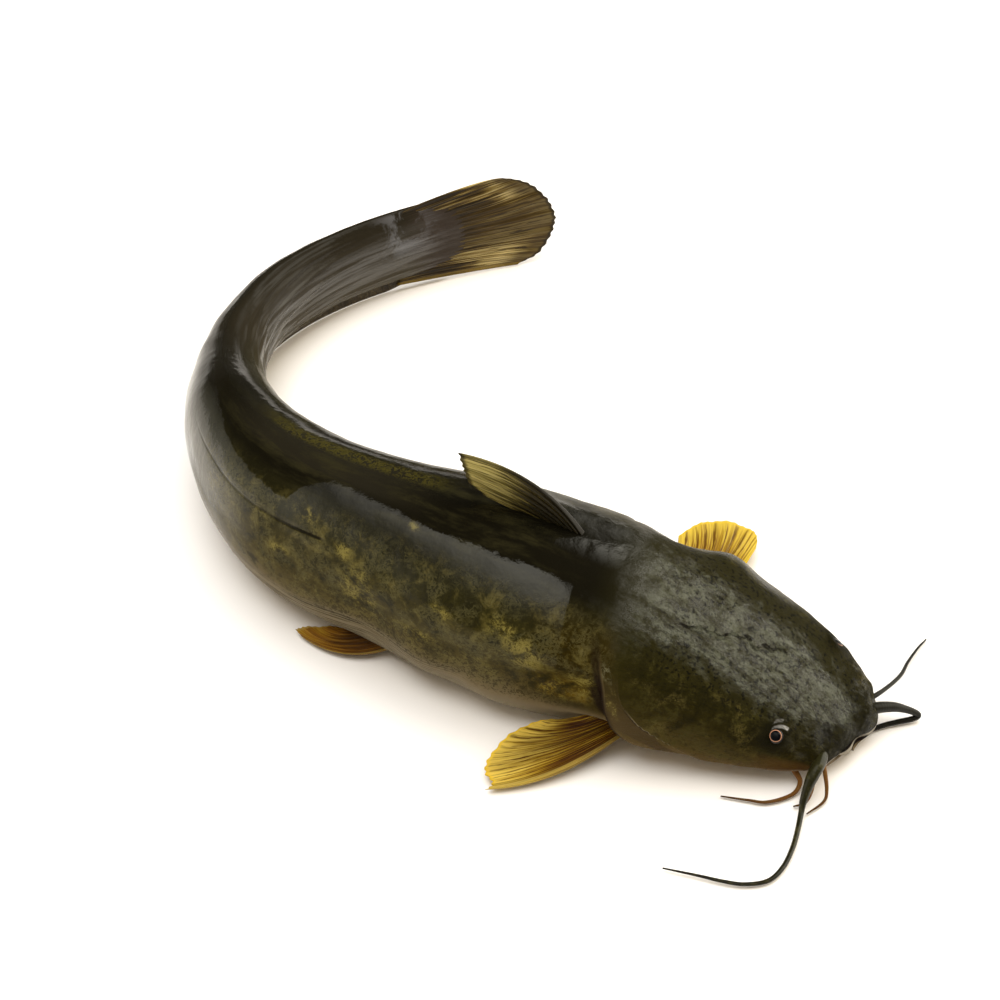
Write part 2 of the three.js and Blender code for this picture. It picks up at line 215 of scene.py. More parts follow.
WIDEST_SHARE = (0.5, 0.45, 0.42, 0.42, 0.52, 0.54)
ROUND_ABOVE = (2.5, 2.6, 2.2, 2.1, 1.9, 1.9)
ROUND_BELOW = (2.4, 2.5, 2.6, 2.5, 1.9, 1.7)
LEAN_AT = (0, 0.75, 0.88, 1, 1.15)
LEAN = (0, 0, 0.1, 0.2, 0.26)
GILL_ANGLE = (0, 30, 55, 70, 83, 91, 105, 120, 140, 180)
GILL_AT = (0.214, 0.212, 0.207, 0.201, 0.198, 0.193, 0.179, 0.155, 0.13, 0.115)
FOLD_ANGLE = (50, 60, 70, 86, 94, 105, 120)
FOLD_AT = (0.194, 0.191, 0.188, 0.172, 0.148, 0.125, 0.11)


def through(at, value, x):
    """Smooth curve through (at, value) pairs: cubic pieces whose slopes are the harmonic means
    of the neighbouring straight slopes, so it never swings past a value; straight outside."""
    at, value, x = np.asarray(at, float), np.asarray(value, float), np.asarray(x, float)
    gap = np.diff(at)
    slope = np.diff(value) / gap
    tangent = np.concatenate([slope[:1], np.zeros(len(at) - 2), slope[-1:]])
    before, after = slope[:-1], slope[1:]
    same = before * after > 0
    total = np.where(same, before + after, 1.0)
    tangent[1:-1] = np.where(same, 2 * before * after / total, 0.0)
    i = np.clip(np.searchsorted(at, x, side="right") - 1, 0, len(at) - 2)
    h = gap[i]
    u = np.clip((x - at[i]) / h, 0, 1)
    y = ((1 + 2 * u) * (1 - u) ** 2 * value[i] + u * (1 - u) ** 2 * h * tangent[i]
        + u * u * (3 - 2 * u) * value[i + 1] + u * u * (u - 1) * h * tangent[i + 1])
    y = np.where(x < at[0], value[0] + tangent[0] * (x - at[0]), y)
    return np.where(x > at[-1], value[-1] + tangent[-1] * (x - at[-1]), y)


def ease(a, b, x):
    """0 below a, 1 above b, and a smooth cubic step between."""
    u = np.clip((x - a) / (b - a), 0, 1)
    return u * u * (3 - 2 * u)


def bell(x, width):
    """A bell curve of height 1: e to the minus (x over width) squared."""
    return np.exp(-((x / width) ** 2))


def within(a, b, c, d, x):
    """1 from b to c, with smooth steps up from a and down to d."""
    return ease(a, b, x) * (1 - ease(c, d, x))


def unit(v):
    """Vectors brought to length 1."""
    return v / (np.linalg.norm(v, axis=-1, keepdims=True) + 1e-9)


def power_sign(x, p):
    """x raised to p in size, with the sign of x."""
    return np.sign(x) * np.abs(x) ** p


spine_t = np.linspace(0, 1.2, 1201)
spine_heading = np.radians(through(HEADING_AT, HEADING_DEG, np.minimum(spine_t, 1)))
spine_run = LENGTH * (spine_t[1] - spine_t[0])
spine_middle = (spine_heading[1:] + spine_heading[:-1]) / 2
spine_x, spine_y = (
    start + np.concatenate([[0], np.cumsum(turn(spine_middle)) * spine_run])
    for start, turn in zip(SNOUT, (np.cos, np.sin)))


def place(t, side, z):
    """Point at station t of the backbone, side mm to the fish's left, z mm above the floor:
    the backbone's point plus side across its heading; the tail leans over with height."""
    t, side, z = np.broadcast_arrays(*(np.asarray(v, float) for v in (t, side, z)))
    x = np.interp(t, spine_t, spine_x)
    y = np.interp(t, spine_t, spine_y)
    h = np.interp(t, spine_t, spine_heading)
    across = side - z * through(LEAN_AT, LEAN, t)
    return np.stack([x + np.sin(h) * across, y - np.cos(h) * across, z], -1)


def section(t, a):
    """Smooth skin at station t and angle a, 90 degrees on the ridge and 180 on the right side:
    a rounded oval with its own power above and below its widest height, drawn in at the snout."""
    t, a = np.broadcast_arrays(np.asarray(t, float), np.asarray(a, float))
    r = np.clip(1 - t / SNOUT_ROUND, 0, 1)
    swell = (1 - r ** SNOUT_POWER) ** (1 / SNOUT_POWER)
    top = through(SECTION_AT, BACK_HEIGHT, t)
    bottom = through(BELLY_AT, BELLY_HEIGHT, t)
    wide = bottom + through(WIDEST_AT, WIDEST_SHARE, t) * (top - bottom)
    c, s = np.cos(a), np.sin(a)
    above = through(WIDEST_AT, ROUND_ABOVE, t)
    below = through(WIDEST_AT, ROUND_BELOW, t)
    p = 2 / np.where(s > 0, above, below)
    side = power_sign(c, p) * through(SECTION_AT, HALF_WIDTH, t) * swell
    z = wide + np.where(s > 0, top - wide, wide - bottom) * power_sign(s, p) * swell
    return place(t, side, np.maximum(z, 0))


def ripple(points, size, seed, octaves=3):
    """Soft uneven relief between about -1 and 1: a sum of plane waves in seeded directions,
    each octave half as long and half as high as the one before."""
    rng = np.random.default_rng(seed)
    total = np.zeros(points.shape[:-1])
    for octave in range(octaves):
        for _ in range(5):
            direction = unit(rng.normal(size=3))
            length = size * 0.5 ** octave * rng.uniform(0.7, 1.4)
            phase = points @ direction * (2 * np.pi / length) + rng.uniform(0, 6.28)
            total += 0.5 ** octave * np.sin(phase) / 4
    return total


snout_steps = np.linspace(0.04, 1, 80)
snout_t = SNOUT_ROUND * (1 - np.cos(snout_steps * np.pi / 2) ** (2 / SNOUT_POWER))
head_t = np.linspace(SNOUT_ROUND, 0.24, 230)[1:]
trunk_t = np.linspace(0.24, TAIL_END, 170)[1:]
stations = np.concatenate([snout_t, head_t, trunk_t])
RING = 200
HEAD_MM_PER_DEGREE, TRUNK_MM_PER_DEGREE, REAR_MM_PER_DEGREE = 0.72, 0.785, 0.7
angles = np.arange(RING) / RING * 2 * np.pi
T, A = np.meshgrid(stations, angles, indexing="ij")
down = np.abs((np.degrees(A) - 90 + 540) % 360 - 180)
right = np.where(np.cos(A) < 0, 1.0, 0.0)
smooth_skin = section(T, A)

along = np.gradient(smooth_skin, axis=0)
around = np.roll(smooth_skin, -1, 1) - np.roll(smooth_skin, 1, 1)
outward = unit(np.cross(along, around))
middle = smooth_skin.mean(1, keepdims=True)
outward *= np.sign(((smooth_skin - middle) * outward).sum(-1).mean())

# At the very front the relief stands straight ahead, so the small rings there stay round.
straight_ahead = -np.array([math.cos(spine_heading[0]), math.sin(spine_heading[0]), 0])
at_front = (1 - ease(0.0005, 0.006, T))[..., None]
outward = unit(outward * (1 - at_front) + straight_ahead * at_front)


def from_snout(east, north, high):
    """Point in mm given from the snout along the frame's x and y, and above the floor."""
    return np.array([SNOUT[0] + east, SNOUT[1] + north, high])


def away_from(spot, stretch=(1, 1, 1)):
    """Distance of each point of the smooth skin from a spot, in mm."""
    return np.linalg.norm((smooth_skin - spot) * stretch, axis=-1)


# Lines on the skin, each as how far a point lies from it in mm, sent far off where it ends:
# the free edge of the gill cover, the plate's edge inside it, the furrow on the crown, which
# wanders to the right, and the crease low on the right flank ahead of the bend.
up = (np.degrees(A) + 90) % 360 - 180
gill_edge = through(GILL_ANGLE, GILL_AT, down)
fold_edge = through(FOLD_ANGLE, FOLD_AT, down)
gill_band = within(36, 52, 108, 122, down)
fold_band = within(58, 70, 108, 120, down)
furrow_line = through((0.05, 0.09, 0.12, 0.145, 0.2), (-2, 0, 5, 13, 20), T)
furrow_line += 1.3 * np.sin(T * 210) + 0.7 * np.sin(T * 520)
furrow_band = within(0.07, 0.085, 0.14, 0.165, T)
crease_line = 51.5 + 1.5 * np.sin((T - 0.42) * 28)
crease_band = right * within(0.425, 0.432, 0.54, 0.58, T)
off_gill = (T - gill_edge) * LENGTH
off_fold = (T - fold_edge) * LENGTH
off_furrow = (up - furrow_line) * HEAD_MM_PER_DEGREE
off_crease = (up - crease_line) * REAR_MM_PER_DEGREE

near_side = ease(-20, 20, up)
relief = 2.0 * near_side * within(-30, -2, 0, 2.2, off_gill) * gill_band
relief -= 0.9 * bell(off_gill - 2.6, 2.2) * gill_band
far_cheek = (1 - near_side) * ease(20, 50, down)
relief += (3.2 * bell(T - 0.138, 0.016) - 3.9 * bell(T - 0.178, 0.026)) * far_cheek
relief += 0.7 * bell(T - 0.225, 0.025) * far_cheek
off_belly = 1 - ease(115, 145, down)
sunk = 5.3 * bell(T - 0.388, 0.038) + 4.5 * bell(T - 0.316, 0.024)
relief -= sunk * ease(62, 86, down) * off_belly
relief -= 7.0 * within(0, 4, 20, 100, off_gill) * ease(62, 84, down) * off_belly
relief += 1.2 * within(-18, -1.5, -0.3, 1.4, off_fold) * fold_band
relief += (-1.1 * bell(off_furrow, 1.6) + 0.5 * bell(off_furrow - 3.6, 2.4)) * furrow_band
relief -= 0.3 * bell(off_crease, 1.2) * crease_band
relief -= 0.9 * bell(down, 9) * within(0.06, 0.1, 0.15, 0.21, T)
relief -= 1.0 * bell(T - 0.222, 0.012) * within(8, 22, 60, 90, up)

# The front of the snout is a little blunter on the right side and rounded off on the left.
blunt = 0.5 + (ease(-40, 30, up) - 0.5) * ease(0, 0.004, T)
relief -= 5.0 * blunt * (1 - ease(0.001, 0.016, T))
snout_corner = away_from(from_snout(5, 4, 12))

# Lengthwise folds in the skin inside the bend.
fold_wave = np.sin(np.radians(down) * 15 + 4 * np.sin(T * 17) + T * 30)
fold_wave += 0.6 * np.sin(np.radians(down) * 31 + 3 * np.sin(T * 23) + T * 11)
inside_bend = (1 - right) * within(0.6, 0.68, 0.84, 0.93, T) * ease(20, 60, down)
relief += 0.42 * inside_bend * fold_wave

# Slow unevenness of the whole skin, less on the head's plates.
relief += ripple(smooth_skin, 60, 3) * 0.5 * within(0.2, 0.3, 0.85, 0.94, T)
relief += ripple(smooth_skin, 16, 5) * 0.16 * within(0.02, 0.05, 0.25, 0.4, T)

# Mouth slot at one height round the snout, with a lip above and below it.
MOUTH = 10.5
off_mouth = smooth_skin[..., 2] - MOUTH
mouth_front = 1 - ease(0.056, 0.07, T)
mouth_span = mouth_front * ease(12, 26, snout_corner)
lip_above = bell(off_mouth - 2.6, 1.8) * mouth_span
lip_below = bell(off_mouth + 2.4, 1.6) * mouth_span
relief += mouth_span * -1.8 * bell(off_mouth, 0.9) + 0.5 * lip_above + 0.5 * lip_below

# Eye mounds, with a fold over each, and fleshy mounds at the feelers' roots and nostrils.
eye_spots = {"right": place(0.056, -35.0, 34.0), "left": place(0.056, 34.0, 31.0)}
eye_mask = np.zeros_like(T)
for side_name, spot in eye_spots.items():
    away = away_from(spot)
    over = smooth_skin[..., 2] - spot[2]
    rise = 2.0 if side_name == "right" else 1.0
    relief += rise * bell(away, 8.5) - (rise + 0.3) * bell(away, 3.8)
    relief += 0.9 * bell(away - 6.4, 1.6) * ease(2.0, 4.5, over)
    relief -= 0.6 * bell(away - 4.9, 0.8) * ease(1.5, 4.0, over)
    eye_mask = np.maximum(eye_mask, 1 - ease(5.0, 15.0, away))
for root_spot, high, wide in (((-20, -16, 17), 3.2, 5.0), ((-3, 18, 20), 1.5, 5.5),
                              ((-4, 12, 27), 1.3, 3.0), ((-13, -11, 22), 0.9, 2.5),
                              ((-6, 34, 20), 1.2, 3.5)):
    relief += high * bell(away_from(from_snout(*root_spot)), wide)
relief -= 1.3 * bell(away_from(from_snout(-21, -13, 27), (1, 1, 0.3)), 1.8)

# Clear slime lies on the crown, the upper flank and the outer bend; off_crown and off_veil
# tell how far inside its two sheets a point is, in mm, and wet how thick it is.
crown_edge = through((0, 0.03, 0.06, 0.1, 0.14, 0.18, 0.2), (5, 18, 31, 31, 28, 33, 36), T)
off_crown = np.minimum(up + 12, crown_edge - up) * HEAD_MM_PER_DEGREE
off_crown -= 12 * (1 - ease(0.012, 0.03, T))
veil_edge = through(
    (0.24, 0.33, 0.4, 0.43, 0.444, 0.457, 0.464, 0.488, 0.52, 0.547, 0.576, 0.62, 0.7),
    (15.5, 14, 12, 9.5, 15, 21, 29, 28, 26, 22, 14, 10, 4), T)
round_mm = up * TRUNK_MM_PER_DEGREE
off_veil = round_mm - veil_edge
edge_up = up + 5 * ripple(smooth_skin, 26, 8)
far_rim = 1 - ease(-48, -34, edge_up)
wet_trunk = 1 - 0.9 * ease(32, 62, edge_up) * (1 - ease(0.47, 0.53, T))
wet_trunk *= 1 - 0.8 * (1 - ease(-36, -16, edge_up)) * (1 - ease(0.28, 0.36, T))
wet_trunk *= 1 - 0.62 * (1 - ease(-26, -6, up)) * within(0.3, 0.36, 0.58, 0.66, T)
outer_bend = ease(0.45, 0.49, T) * ease(8, 14, edge_up)
wet_trunk *= 1 - outer_bend * (1 - ease(26, 56, edge_up)) * 0.6
wet_trunk *= 1 - 0.5 * ease(70, 84, up) * (1 - ease(0.57, 0.6, T))
wet_trunk *= 1 - 0.75 * ease(0.6, 0.68, T) * (1 - right) * (1 - ease(56, 84, down))
wet_trunk *= 1 - 0.7 * ease(0.96, 0.985, T + 0.004 * np.sin(np.radians(down) * 23))
wet_head = 0.03 + 0.6 * far_rim * ease(0.07, 0.11, T)
wet = wet_head + (wet_trunk - wet_head) * ease(0.19, 0.205, T)

skin_points = smooth_skin + outward * relief[..., None]
CORNER_DEPTH, CORNER_WIDTH, CORNER_INWARD = 6.0, 9.5, (-0.93, 0.33, -0.14)
skin_points += CORNER_DEPTH * bell(snout_corner, CORNER_WIDTH)[..., None] * CORNER_INWARD
skin_points[..., 2] = np.maximum(skin_points[..., 2], 0)


def closed_tube_faces(rows, ring):
    """Quads between successive rings, then a fan of triangles to a centre point at each end."""
    i, j = np.meshgrid(np.arange(rows - 1), np.arange(ring), indexing="ij")
    k = (j + 1) % ring
    quads = np.stack([i * ring + j, i * ring + k, (i + 1) * ring + k, (i + 1) * ring + j], -1)
    a = np.arange(ring)
    b = (a + 1) % ring
    first, last = rows * ring, rows * ring + 1
    start = np.stack([b, a, np.full(ring, first)], -1)
    end = np.stack([a + (rows - 1) * ring, b + (rows - 1) * ring, np.full(ring, last)], -1)
    return quads.reshape(-1, 4).tolist() + start.tolist() + end.tolist()


def closed_tube(name, rings, fields):
    """A closed skin over rings of points, in mm, carrying one number per point for each field.
    Faces are turned outwards where the enclosed volume comes out negative."""
    rows, ring = rings.shape[:2]
    ends = np.stack([rings[0].mean(0), rings[-1].mean(0)])
    points = np.concatenate([rings.reshape(-1, 3), ends]) * MM
    faces = closed_tube_faces(rows, ring)
    quads = np.array(faces[: (rows - 1) * ring])
    corner = [points[quads[:, k]] for k in range(4)]
    volume = (corner[0] * np.cross(corner[1], corner[2])).sum()
    volume += (corner[0] * np.cross(corner[2], corner[3])).sum()
    if volume < 0:
        faces = [face[::-1] for face in faces]
    return mesh_object(name, points, faces, {
        key: np.append(grid, [grid[0].mean(), grid[-1].mean()]) for key, grid in fields.items()})


# Golden clusters on the flank: station, angle, and half sizes along and around.
gold = np.zeros_like(T)
for at, angle, half_t, half_a in (
        (0.262, 157, 0.014, 9), (0.278, 146, 0.01, 6), (0.215, 168, 0.012, 10),
        (0.24, 176, 0.012, 6), (0.395, 163, 0.013, 14), (0.41, 142, 0.006, 5),
        (0.443, 131, 0.008, 4), (0.345, 172, 0.01, 4), (0.362, 112, 0.0035, 2),
        (0.325, 150, 0.007, 4), (0.46, 160, 0.007, 3)):
    off = np.hypot((T - at) / half_t, (np.degrees(A) - angle) / half_a)
    gold = np.maximum(gold, np.exp(-(off ** 2) * 0.8))

skin = closed_tube("skin", skin_points, {"station": T, "down": down / 180, "around": round_mm,
    "gold": gold, "wet": wet, "lip": np.clip(lip_below, 0, 1), "eye": eye_mask,
    "off_gill": off_gill, "off_fold": off_fold, "off_furrow": off_furrow, "off_crease": off_crease,
    "off_mouth": off_mouth + 30 * (1 - mouth_front), "off_crown": off_crown, "off_veil": off_veil})

wet_skin = new_material("wet_skin")


def field(name):
    """The value of a per-point field of the mesh."""
    return add("Attribute", attribute_name=name).outputs["Fac"]


def blend(amount, a, b):
    """Colour a turned to colour b by an amount."""
    return add("Mix", {0: amount, 6: a, 7: b}, data_type="RGBA").outputs[2]


def painted(colour, rgb, *amounts):
    """A colour turned to rgb by the amounts multiplied together."""
    return blend(product(*amounts), colour, (*rgb, 1))


def ramp(value, stops):
    """Colours or greys at given places along a value."""
    made = add("ValToRGB", {0: value})
    band = made.color_ramp
    while len(band.elements) < len(stops):
        band.elements.new(0.5)
    for element, (spot, colour) in zip(band.elements, stops):
        element.position = spot
        element.color = (*colour, 1)
    return made.outputs[0]


def noise(where, scale, detail=3.0, rough=0.55, distort=0.0):
    """Soft noise at a scale per metre."""
    return add("TexNoise", {"Vector": where, "Scale": scale, "Detail": detail, "Roughness": rough,
        "Distortion": distort}).outputs["Fac"]


def bumped(height):
    """The surface's direction after it is raised by a height in metres."""
    return add("Bump", {"Height": height, "Strength": 1.0, "Distance": 1.0}).outputs[0]


def distance(spot):
    """Distance in metres from a spot given from the snout in mm."""
    there = tuple(from_snout(*spot) * MM)
    return add("VectorMath", {0: where, 1: there}, operation="DISTANCE").outputs["Value"]


def near_line(name, low, high, soft):
    """1 where the offset from a line lies between low and high mm, fading over soft mm."""
    return between(field(name), low - soft, low, high, high + soft)


where = add("TexCoord").outputs["Object"]
t_at = field("station")
d_at = field("down")
gold_at = field("gold")
side_at = field("around")
flat_where = add("CombineXYZ", {0: product(t_at, LENGTH), 1: side_at}).outputs[0]


def drawn_out(along, across, detail, rough=0.6):
    """Noise on the unrolled skin, with sizes in mm along and across the fish."""
    stretched = add("VectorMath", {0: flat_where, 1: (1 / along, 1 / across, 1)},
        operation="MULTIPLY").outputs[0]
    return noise(stretched, 1.0, detail, rough, 0.3)


broad = noise(where, 26, 4, 0.6)
cloud = noise(where, 60, 5, 0.65, 0.4)
grain = noise(where, 420, 5, 0.75)
worms = noise(where, 300, 6, 0.75, 0.7)
flecks = noise(where, 480, 4, 0.7, 1.0)
strands = between(worms, 0.43, 0.5, 0.53, 0.6)
depth = total(d_at, scaled(broad, 0.12, -0.06))
trunk_colour = ramp(depth, [(0.0, (0.0045, 0.0038, 0.002)), (0.12, (0.0048, 0.004, 0.0018)),
    (0.2, (0.0105, 0.0092, 0.0025)), (0.28, (0.019, 0.0165, 0.0038)), (0.36, (0.033, 0.027, 0.006)),
    (0.45, (0.044, 0.034, 0.0075)), (0.5, (0.075, 0.058, 0.019)), (0.58, (0.16, 0.125, 0.066)),
    (0.75, (0.24, 0.21, 0.15))])
head_colour = ramp(depth, [(0.0, (0.02, 0.018, 0.006)), (0.16, (0.017, 0.015, 0.0035)),
    (0.28, (0.015, 0.0125, 0.0015)), (0.38, (0.019, 0.0145, 0.0012)),
    (0.44, (0.034, 0.025, 0.0032)), (0.5, (0.064, 0.047, 0.011)), (0.56, (0.105, 0.07, 0.022)),
    (0.8, (0.24, 0.18, 0.1))])
tail_colour = ramp(depth, [(0.0, (0.012, 0.01, 0.006)), (0.25, (0.022, 0.018, 0.011)),
    (0.5, (0.042, 0.036, 0.026)), (0.7, (0.05, 0.042, 0.028)), (0.95, (0.05, 0.04, 0.02))])
colour = blend(span(t_at, 0.17, 0.23), head_colour, trunk_colour)
colour = blend(span(t_at, 0.56, 0.74), colour, tail_colour)
mauve_back = product(between(t_at, 0.34, 0.42, 0.5, 0.6), span(d_at, 0.11, 0.05))
colour = painted(colour, (0.0125, 0.0108, 0.0065), mauve_back)
gold_low = product(between(t_at, 0.207, 0.218, 0.24, 0.262),
    between(d_at, 0.38, 0.46, 0.495, 0.525), span(cloud, 0.36, 0.56))
behind_gill = product(between(t_at, 0.19, 0.205, 0.228, 0.27), between(d_at, 0.14, 0.3, 0.5, 0.62))
colour = painted(colour, (0.021, 0.0135, 0.001), behind_gill, 0.9)
flank = product(between(d_at, 0.12, 0.3, 0.48, 0.58), between(t_at, 0.19, 0.22, 0.48, 0.6))
colour = painted(colour, (0.17, 0.105, 0.008), gold_low, 0.6)
swirl = noise(where, 105, 9, 0.72, 0.35)
murk = product(span(swirl, 0.5, 0.38), flank)
colour = painted(colour, (0.0125, 0.011, 0.0036), murk, 0.75)
mottle = product(span(swirl, 0.5, 0.64), flank, span(cloud, 0.3, 0.5))
colour = painted(colour, (0.112, 0.092, 0.026), mottle, 0.6)
thin = product(strands, flank, span(cloud, 0.42, 0.56))
colour = painted(colour, (0.15, 0.135, 0.055), thin, 0.3)
patchy = product(gold_at, span(swirl, 0.4, 0.62))
colour = painted(colour, (0.105, 0.082, 0.016), patchy, 0.45)
sprinkle = larger(product(strands, 0.8), span(flecks, 0.58, 0.68))
bright = product(span(gold_at, 0.12, 0.8), sprinkle, span(swirl, 0.44, 0.58))
colour = painted(colour, (0.3, 0.25, 0.06), bright, 0.6)
cheek = product(span(t_at, 0.2, 0.16), between(d_at, 0.16, 0.26, 0.52, 0.6))
moss = product(cheek, span(swirl, 0.46, 0.62), span(grain, 0.32, 0.6))
colour = painted(colour, (0.05, 0.043, 0.009), moss, 0.7)
moss = product(cheek, span(cloud, 0.54, 0.66), sprinkle)
colour = painted(colour, (0.13, 0.105, 0.03), moss, 0.5)
murk = product(cheek, span(swirl, 0.47, 0.36))
colour = painted(colour, (0.008, 0.007, 0.001), murk, 0.6)
pores = product(span(noise(where, 500, 3, 0.55), 0.54, 0.62), span(t_at, 0.2, 0.15),
    span(d_at, 0.3, 0.22, 0.32, 0.95))
colour = painted(colour, (0.004, 0.0035, 0.001), pores)
tip = product(span(t_at, 0.045, 0.015), span(grain, 0.62, 0.42, 0.2, 0.75))
colour = painted(colour, (0.008, 0.007, 0.003), tip)
streaks = product(span(drawn_out(34, 7.5, 6, 0.7), 0.46, 0.68),
    between(t_at, 0.22, 0.28, 0.5, 0.62), span(d_at, 0.22, 0.1))
colour = painted(colour, (0.027, 0.024, 0.009), streaks, 0.5)
crest = product(span(side_at, -15, -10), span(t_at, 0.34, 0.38), span(side_at, -2, -6),
    span(t_at, 0.56, 0.5), strands)
colour = painted(colour, (0.055, 0.046, 0.006), crest, 0.6)
# Partly painted light: the lowest band of the right flank is paler belly skin, lightened further to
# stand for light bounced up from the floor.
pale_lit_belly = product(span(d_at, 0.52, 0.56), span(t_at, 0.28, 0.36), span(side_at, 0.0, 10.0))
colour = painted(colour, (0.22, 0.19, 0.125), pale_lit_belly, 0.42)
specks = product(between(d_at, 0.4, 0.47, 0.54, 0.6), between(t_at, 0.21, 0.24, 0.4, 0.5),
    span(flecks, 0.5, 0.43))
colour = painted(colour, (0.026, 0.021, 0.008), specks, 0.75)
lines = product(pale_lit_belly, span(drawn_out(40, 1.3, 4, 0.7), 0.5, 0.43))
colour = painted(colour, (0.022, 0.017, 0.008), lines, 0.85)

# The gill cover's soft hem is paler and browner than the plate, with a light rim on the cover's
# edge.
fold_on = between(d_at, 0.32, 0.38, 0.6, 0.667)
gill_on = between(d_at, 0.2, 0.29, 0.6, 0.678)
hem = product(near_line("off_fold", 0.3, 22, 0.6), near_line("off_gill", -22, 0, 0.5), fold_on,
    span(d_at, 0.38, 0.5, 0.25, 1.0))
colour = painted(colour, (0.066, 0.044, 0.017), hem, 0.85)
hem_spot = product(near_line("off_gill", -6.0, -1.8, 1.2), span(swirl, 0.45, 0.58),
    between(d_at, 0.36, 0.42, 0.455, 0.49))
colour = painted(colour, (0.1, 0.078, 0.018), hem_spot, 0.42)
colour = painted(colour, (0.3, 0.25, 0.08), hem_spot, span(grain, 0.46, 0.62), 0.6)
rim_spots = product(near_line("off_gill", -4.5, -1.4, 1.5), span(grain, 0.45, 0.6),
    between(d_at, 0.29, 0.33, 0.34, 0.37))
colour = painted(colour, (0.2, 0.19, 0.11), rim_spots, 0.5)
colour = painted(colour, (0.15, 0.115, 0.05), near_line("off_gill", -0.9, -0.1, 0.5), gill_on,
    span(d_at, 0.27, 0.36), 0.45)
fold_low = product(fold_on, span(d_at, 0.42, 0.49))
# Painted highlight: a pale line on the plate's raised edge; then painted shadow: a dark line just
# under it.
colour = painted(colour, (0.23, 0.19, 0.11), near_line("off_fold", -0.8, 0.0, 0.5), fold_low, 0.85)
colour = painted(colour, (0.01, 0.006, 0.003), near_line("off_fold", 0.4, 1.3, 1.2), fold_low, 0.9)
# Painted shade: a dark band in the gap under the gill cover's free edge, and a darker one in the
# hollow behind it.
gill_gap_shade = product(near_line("off_gill", 0.4, 3.0, 2.2), gill_on, span(d_at, 0.24, 0.4, 0.3, 1.0))
colour = painted(colour, (0.01, 0.005, 0.004), gill_gap_shade, 0.85)
hollow_shade = product(near_line("off_gill", 0.5, 7.0, 3.5), between(d_at, 0.38, 0.46, 0.54, 0.6))
colour = painted(colour, (0.009, 0.004, 0.003), hollow_shade, 0.85)
wander = scaled(drawn_out(7, 7, 4, 0.7), 4.0, total(field("off_furrow"), -2.0))
cracks = product(between(wander, -0.75, -0.3, 0.2, 0.75),
    span(drawn_out(6, 2.5, 3), 0.36, 0.5, 0.15, 0.95), between(t_at, 0.07, 0.085, 0.15, 0.165))
crease_soft = span(t_at, 0.43, 0.5, 0.9, 0.3)
creased = product(near_line("off_crease", -0.3, 0.3, 0.6), crease_soft,
    between(t_at, 0.425, 0.43, 0.53, 0.6))
# Painted shade: the crown's furrow and the flank's crease are darkened as shade lying in them; the
# same mask also sinks them in the bump and thins the slime there.
shaded_creases = larger(cracks, creased)
colour = painted(colour, (0.004, 0.003, 0.0015), shaded_creases)
colour = painted(colour, (0.007, 0.006, 0.002), field("eye"), 0.85)
corner = product(span(t_at, 0.085, 0.04), span(d_at, 0.42, 0.5), span(t_at, 0.008, 0.016),
    span(side_at, 12.0, 30.0))
colour = painted(colour, (0.085, 0.042, 0.009), corner, 0.75)
# Painted shade: a dark spot stands for the shade inside the nostril.
nostril_shade = span(scaled(flecks, 0.005, distance((-18.8, -3.5, 26.5))), 0.0075, 0.0045)
colour = painted(colour, (0.005, 0.004, 0.002), nostril_shade, 0.8)
lip_at = product(span(t_at, 0.024, 0.017), span(side_at, -80.0, -66.0))
colour = painted(colour, (0.36, 0.28, 0.2), field("lip"), span(t_at, 0.003, 0.01), 0.75)
# Painted shade: a dark line in the mouth slot between the lips.
colour = painted(colour, (0.008, 0.004, 0.003), near_line("off_mouth", -0.5, 0.5, 0.5))
colour = painted(colour, (0.52, 0.47, 0.38), near_line("off_mouth", 0.8, 3.0, 0.5), lip_at, 0.8)
colour = painted(colour, (0.006, 0.004, 0.003), near_line("off_mouth", 3.6, 4.1, 0.4), lip_at, 0.9)
# Painted sheen: pale grey patches near the tail end stand for the slime's reflection there.
end_sheen = product(between(t_at, 0.9, 0.94, 0.975, 0.995), span(cloud, 0.44, 0.56),
    between(d_at, 0.04, 0.12, 0.5, 0.66))
colour = painted(colour, (0.125, 0.125, 0.13), end_sheen, 0.75)
feather_where = add("CombineXYZ", {0: product(d_at, 60.0), 1: product(t_at, 30.0)}).outputs[0]
feather = scaled(noise(feather_where, 1.0, 3), 0.06, t_at)
colour = painted(colour, (0.04, 0.03, 0.023), span(feather, 0.965, 1.01, 0.0, 0.9))


def near_arc(low, high, rear, front):
    """1 on an arc over the right eye: between two distances in metres from a point under it and
    between two stations, its rear and front ends ragged."""
    soft = 0.0004
    ragged = scaled(grain, 0.003, t_at)
    return product(
        between(brow_off, low - soft, low + soft, high - soft, high + soft),
        span(high_at, 0.033, 0.0338),
        between(ragged, front + 0.001, front + 0.0025, rear + 0.001, rear + 0.0025))


# Painted highlight: two pale arcs over the right eye stand for the lights' reflection in the wet
# skin there.
high_at = add("SeparateXYZ", {"Vector": where}).outputs["Z"]
brow_off = distance((-39.0, -20.5, 30.0))
upper_arc = product(near_arc(0.0092, 0.0106, 0.064, 0.057), 0.5)
brow_highlight = larger(near_arc(0.0064, 0.0079, 0.063, 0.05), upper_arc)
brow_highlight = product(brow_highlight, span(t_at, 0.06, 0.053, 0.5, 1.0),
    span(drawn_out(4, 1.2, 2), 0.35, 0.55, 0.45, 1.0))
colour = painted(colour, (0.36, 0.36, 0.35), brow_highlight)

height = scaled(noise(where, 120, 4, 0.6), 0.00035, product(grain, 0.00005))
head_mask = span(t_at, 0.215, 0.17)
wrinkles = drawn_out(6, 2.8, 6, 0.75)
height = scaled(product(wrinkles, 0.0015), head_mask, height)
height = scaled(product(flecks, 0.00035), head_mask, height)
height = scaled(shaded_creases, -0.0006, height)
bump = bumped(height)

